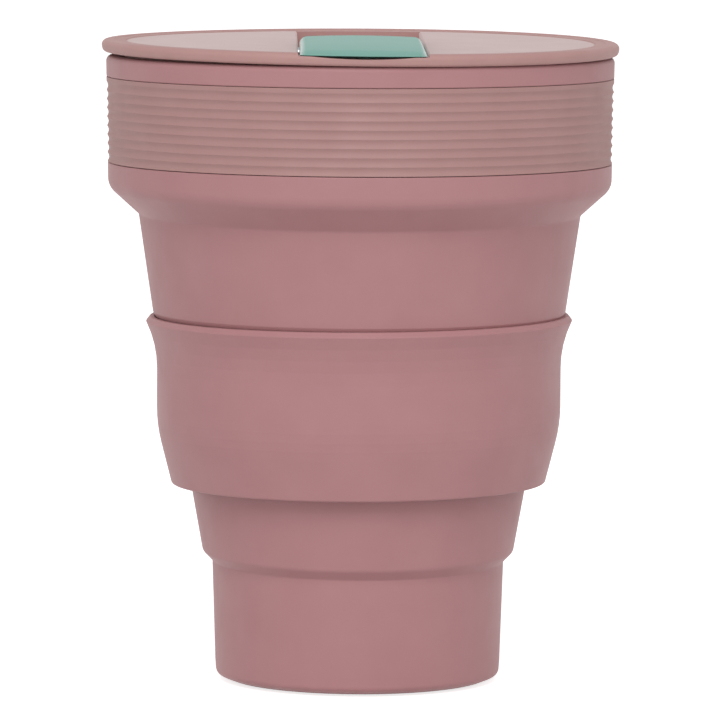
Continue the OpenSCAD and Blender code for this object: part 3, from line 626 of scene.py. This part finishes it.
# Seal outline as a solid between two heights: a flange round each plug, joined by a bar
def sealSolid(name, low, high):
    s, t = lidSet, sealSet
    levels = lambda r: [(r - t["edge"], low), (r, low + t["edge"]), (r, high)]
    piece = slotStack(name, (0, -sipY), sipHalf, levels(sipR + t["stripRim"] - t["plugGap"]))
    flange = levels(s["ventR"] + t["stripRim"])
    combine(piece, slotStack("ventFlange", (0, -s["ventY"]), roundHalf, flange, roundSteps), "UNION")
    return combine(piece, columnSolid("bar", np.array([-s["ventR"], s["ventR"]]), -sipY, -s["ventY"],
                                      low + t["edge"] / 2, high), "UNION")


# Flap: the outline of its side carried across the lid. Its top drops by the crown x2 / 2R, and near each
# long edge by e - sqrt(e2 - t2), t being the distance into the edge. It droops towards the front by the cube
# of the distance, and its front follows the lid's round edge.
def makeFlap():
    s = flapSet
    half, e, back = s["wide"] / 2, s["edge"], s["straightY"]
    reach, bodyR = lidR - s["setback"], skirtInR - s["gap"]
    footZ, lipZ = channelZ + s["channelGap"], notchZ + s["notchGap"]
    h, r, bend = lidSet["hingeY"], barrelR, s["barrelRound"]
    y, z = roundedLine([
        (-bodyR, footZ, s["footRound"]), (-h - r, footZ, bend), (-h - s["barrelIn"] * r, hingeZ - r, bend),
        (r - h, hingeZ - r, r, s["barrelShare"]), (r - h, flapTopZ, r, s["barrelShare"]),
        (s["rollRun"] - reach, flapTopZ, s["roll"], s["rollShare"]),
        (-reach, lipZ + s["lipHigh"], s["lipRound"]), (-reach, lipZ, s["lipEdge"]),
        (-bodyR, lipZ, s["lipRound"])]).T
    droop = s["droop"] * np.clip(1 - (y + reach) / s["droopRun"], 0, 1) ** 3 / (flapTopZ - lipZ)
    turn = half - e + e * np.sin(np.linspace(0, math.pi / 2, s["edgeSteps"] + 1))
    x = np.concatenate([-turn[::-1], np.linspace(e - half, half - e, s["crownSteps"] + 1)[1:-1], turn])
    edgeDrop = e - np.sqrt(np.maximum(e ** 2 - np.maximum(np.abs(x) - half + e, 0) ** 2, 0))
    crown = x ** 2 / (2 * s["crownR"])
    share = np.minimum((edgeDrop + crown) / (flapTopZ - lipZ), s["mostDrop"])[:, None]
    front = np.sqrt(reach ** 2 - x ** 2) - s["cornerIn"] * edgeDrop / e
    body = np.sqrt(bodyR ** 2 - x ** 2)
    yy = np.stack([np.where(y < back, np.interp(y, (-reach, -bodyR, back), (-f, -b, back)), y)
                   for f, b in zip(front, body)])
    zz = np.where(z > lipZ, lipZ + (z - lipZ) * (1 - share) * (1 - droop), z)
    flap = acrossPiece("sipFlap", x, yy, zz)
    x = columnsAcross(half - s["thick"])
    combine(flap, columnSolid("hollow", x, -np.sqrt((bodyR - s["thick"]) ** 2 - x ** 2), -h - r, footZ - past,
                              flapTopZ - s["thick"]), "DIFFERENCE")
    combine(flap, sealSolid("seat", stripZ + sealSet["strip"], flapTopZ - s["thick"] / 2), "UNION")
    combine(flap, rodAcross("pinHole", half + past, lidSet["pinR"] + s["pinGap"], -h, hingeZ), "DIFFERENCE")
    lean(smoothFaces(flap), "lid")
    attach(dress(flap, flapPlastic, "sip_flap"), "flap")


# Seals: a strip with two plugs under the flap, and a ring with two ribs round the lid's skirt
def makeSeals():
    s, t = lidSet, sealSet
    topZ, plugZ = stripZ + t["strip"], channelZ - t["plugDeep"]
    strip = sealSolid("flapSeal", stripZ, topZ)
    for centre, half, holeR in ((sipY, sipHalf, sipR), (s["ventY"], roundHalf, s["ventR"])):
        r = holeR - t["plugGap"]
        levels = [(r - t["edge"], plugZ), (r, plugZ + t["edge"]), (r, topZ - t["strip"] / 2)]
        combine(strip, slotStack("plug", (0, -centre), half, levels, roundSteps), "UNION")
    lean(smoothFaces(strip), "lid")
    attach(dress(strip, sealSilicone, "flap_seal"), "flap")
    seat, edge = t["seatGap"], t["edge"]
    backR, ribR, valleyR = skirtR - s["sealDeep"] + seat, mouthR - t["ribGap"], skirtR - seat
    z = sealFootZ + seat + (s["sealHigh"] - 2 * seat) / 4 * np.arange(5)  # foot, rib, valley, rib, top
    line = roundedLine([
        (backR, z[0], 0), (valleyR, z[0], 0), (ribR, z[1], edge), (valleyR, z[2], edge), (ribR, z[3], edge),
        (valleyR, z[4], 0), (backR, z[4], 0)])
    ring = lean(turnedPiece("lidSeal", line), "lid")
    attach(dress(ring, sealSilicone, "lid_seal"), "lid")


makeLid()
makeFlap()
makeSeals()
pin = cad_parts["hinge_pin"]
pin.data.materials.clear()
pin.data.materials.append(pinSteel)
print("lid, flap and seals made")


# Lamps: a wide soft box above the camera, and a room with bright walls that darken towards the ceiling.
# Height is the sine of the angle above the horizon. The box's size and the floor's half width are metres.
lampSet = dict(walls=1.1, ceiling=0.44, ceilingHeight=0.6, backdrop=1.0, frontPower=18.3, frontSize=1.2,
               frontPlace=(-100.0, -1500.0, 1364.0), frontAim=(0.0, 0.0, 60.0))
floorSet = dict(half=30.0, colour="#e6e6e6", glow=0.75)


# 1 for a ray that shows the backdrop, straight to the camera, in a gloss or through a clear piece, and else 0
def seenRay(tree):
    ray = addNode(tree, "ShaderNodeLightPath").outputs
    straight = addNode(tree, "ShaderNodeMath", {0: ray["Is Camera Ray"], 1: ray["Is Glossy Ray"]},
                       operation="MAXIMUM").outputs[0]
    return addNode(tree, "ShaderNodeMath", {0: straight, 1: ray["Is Transmission Ray"]},
                   operation="MAXIMUM").outputs[0]


def makeRoom():
    world = bpy.data.worlds.new("whiteRoom")
    bpy.context.scene.world = world
    world.use_nodes = True
    tree = world.node_tree
    tree.nodes.clear()
    toward = addNode(tree, "ShaderNodeTexCoord").outputs["Generated"]
    height = addNode(tree, "ShaderNodeSeparateXYZ", {0: toward}).outputs["Z"]
    room = addNode(tree, "ShaderNodeMapRange", {
        "Value": height, "From Min": 0.0, "From Max": lampSet["ceilingHeight"], "To Min": lampSet["walls"],
        "To Max": lampSet["ceiling"]}).outputs["Result"]
    strength = addNode(tree, "ShaderNodeMapRange", {
        "Value": seenRay(tree), "To Min": room, "To Max": lampSet["backdrop"]}).outputs["Result"]
    sky = addNode(tree, "ShaderNodeBackground", {"Color": (1, 1, 1, 1), "Strength": strength})
    addNode(tree, "ShaderNodeOutputWorld", {"Surface": sky.outputs[0]})
    lamp = bpy.data.lights.new("frontSoftBox", "AREA")
    lamp.shape, lamp.size, lamp.energy = "DISK", lampSet["frontSize"], lampSet["frontPower"]
    box = bpy.data.objects.new("frontSoftBox", lamp)
    place, aim = Vector(lampSet["frontPlace"]) * mm, Vector(lampSet["frontAim"]) * mm
    box.matrix_world = Matrix.Translation(place) @ (aim - place).to_track_quat("-Z", "Y").to_matrix().to_4x4()
    bpy.context.scene.collection.objects.link(box)


def makeFloor():
    half = floorSet["half"] / mm
    corners = np.array([[-half, -half, 0], [half, -half, 0], [half, half, 0], [-half, half, 0]])
    floor = meshPiece("floor", corners, np.array([[0, 1, 2, 3]]))
    material = bpy.data.materials.new("paperSweep")
    material.use_nodes = True
    tree = material.node_tree
    tree.nodes.clear()
    glow = addNode(tree, "ShaderNodeMath", {0: seenRay(tree), 1: floorSet["glow"]},
                   operation="MULTIPLY").outputs[0]
    paper = addNode(tree, "ShaderNodeBsdfDiffuse", {"Color": linearColour(floorSet["colour"])})
    light = addNode(tree, "ShaderNodeEmission", {"Strength": glow})
    both = addNode(tree, "ShaderNodeAddShader", {0: paper.outputs[0], 1: light.outputs[0]})
    addNode(tree, "ShaderNodeOutputMaterial", {"Surface": both.outputs[0]})
    floor.data.materials.append(material)


makeRoom()
makeFloor()
bpy.context.scene.view_settings.view_transform = "Standard"
print("room and floor made")
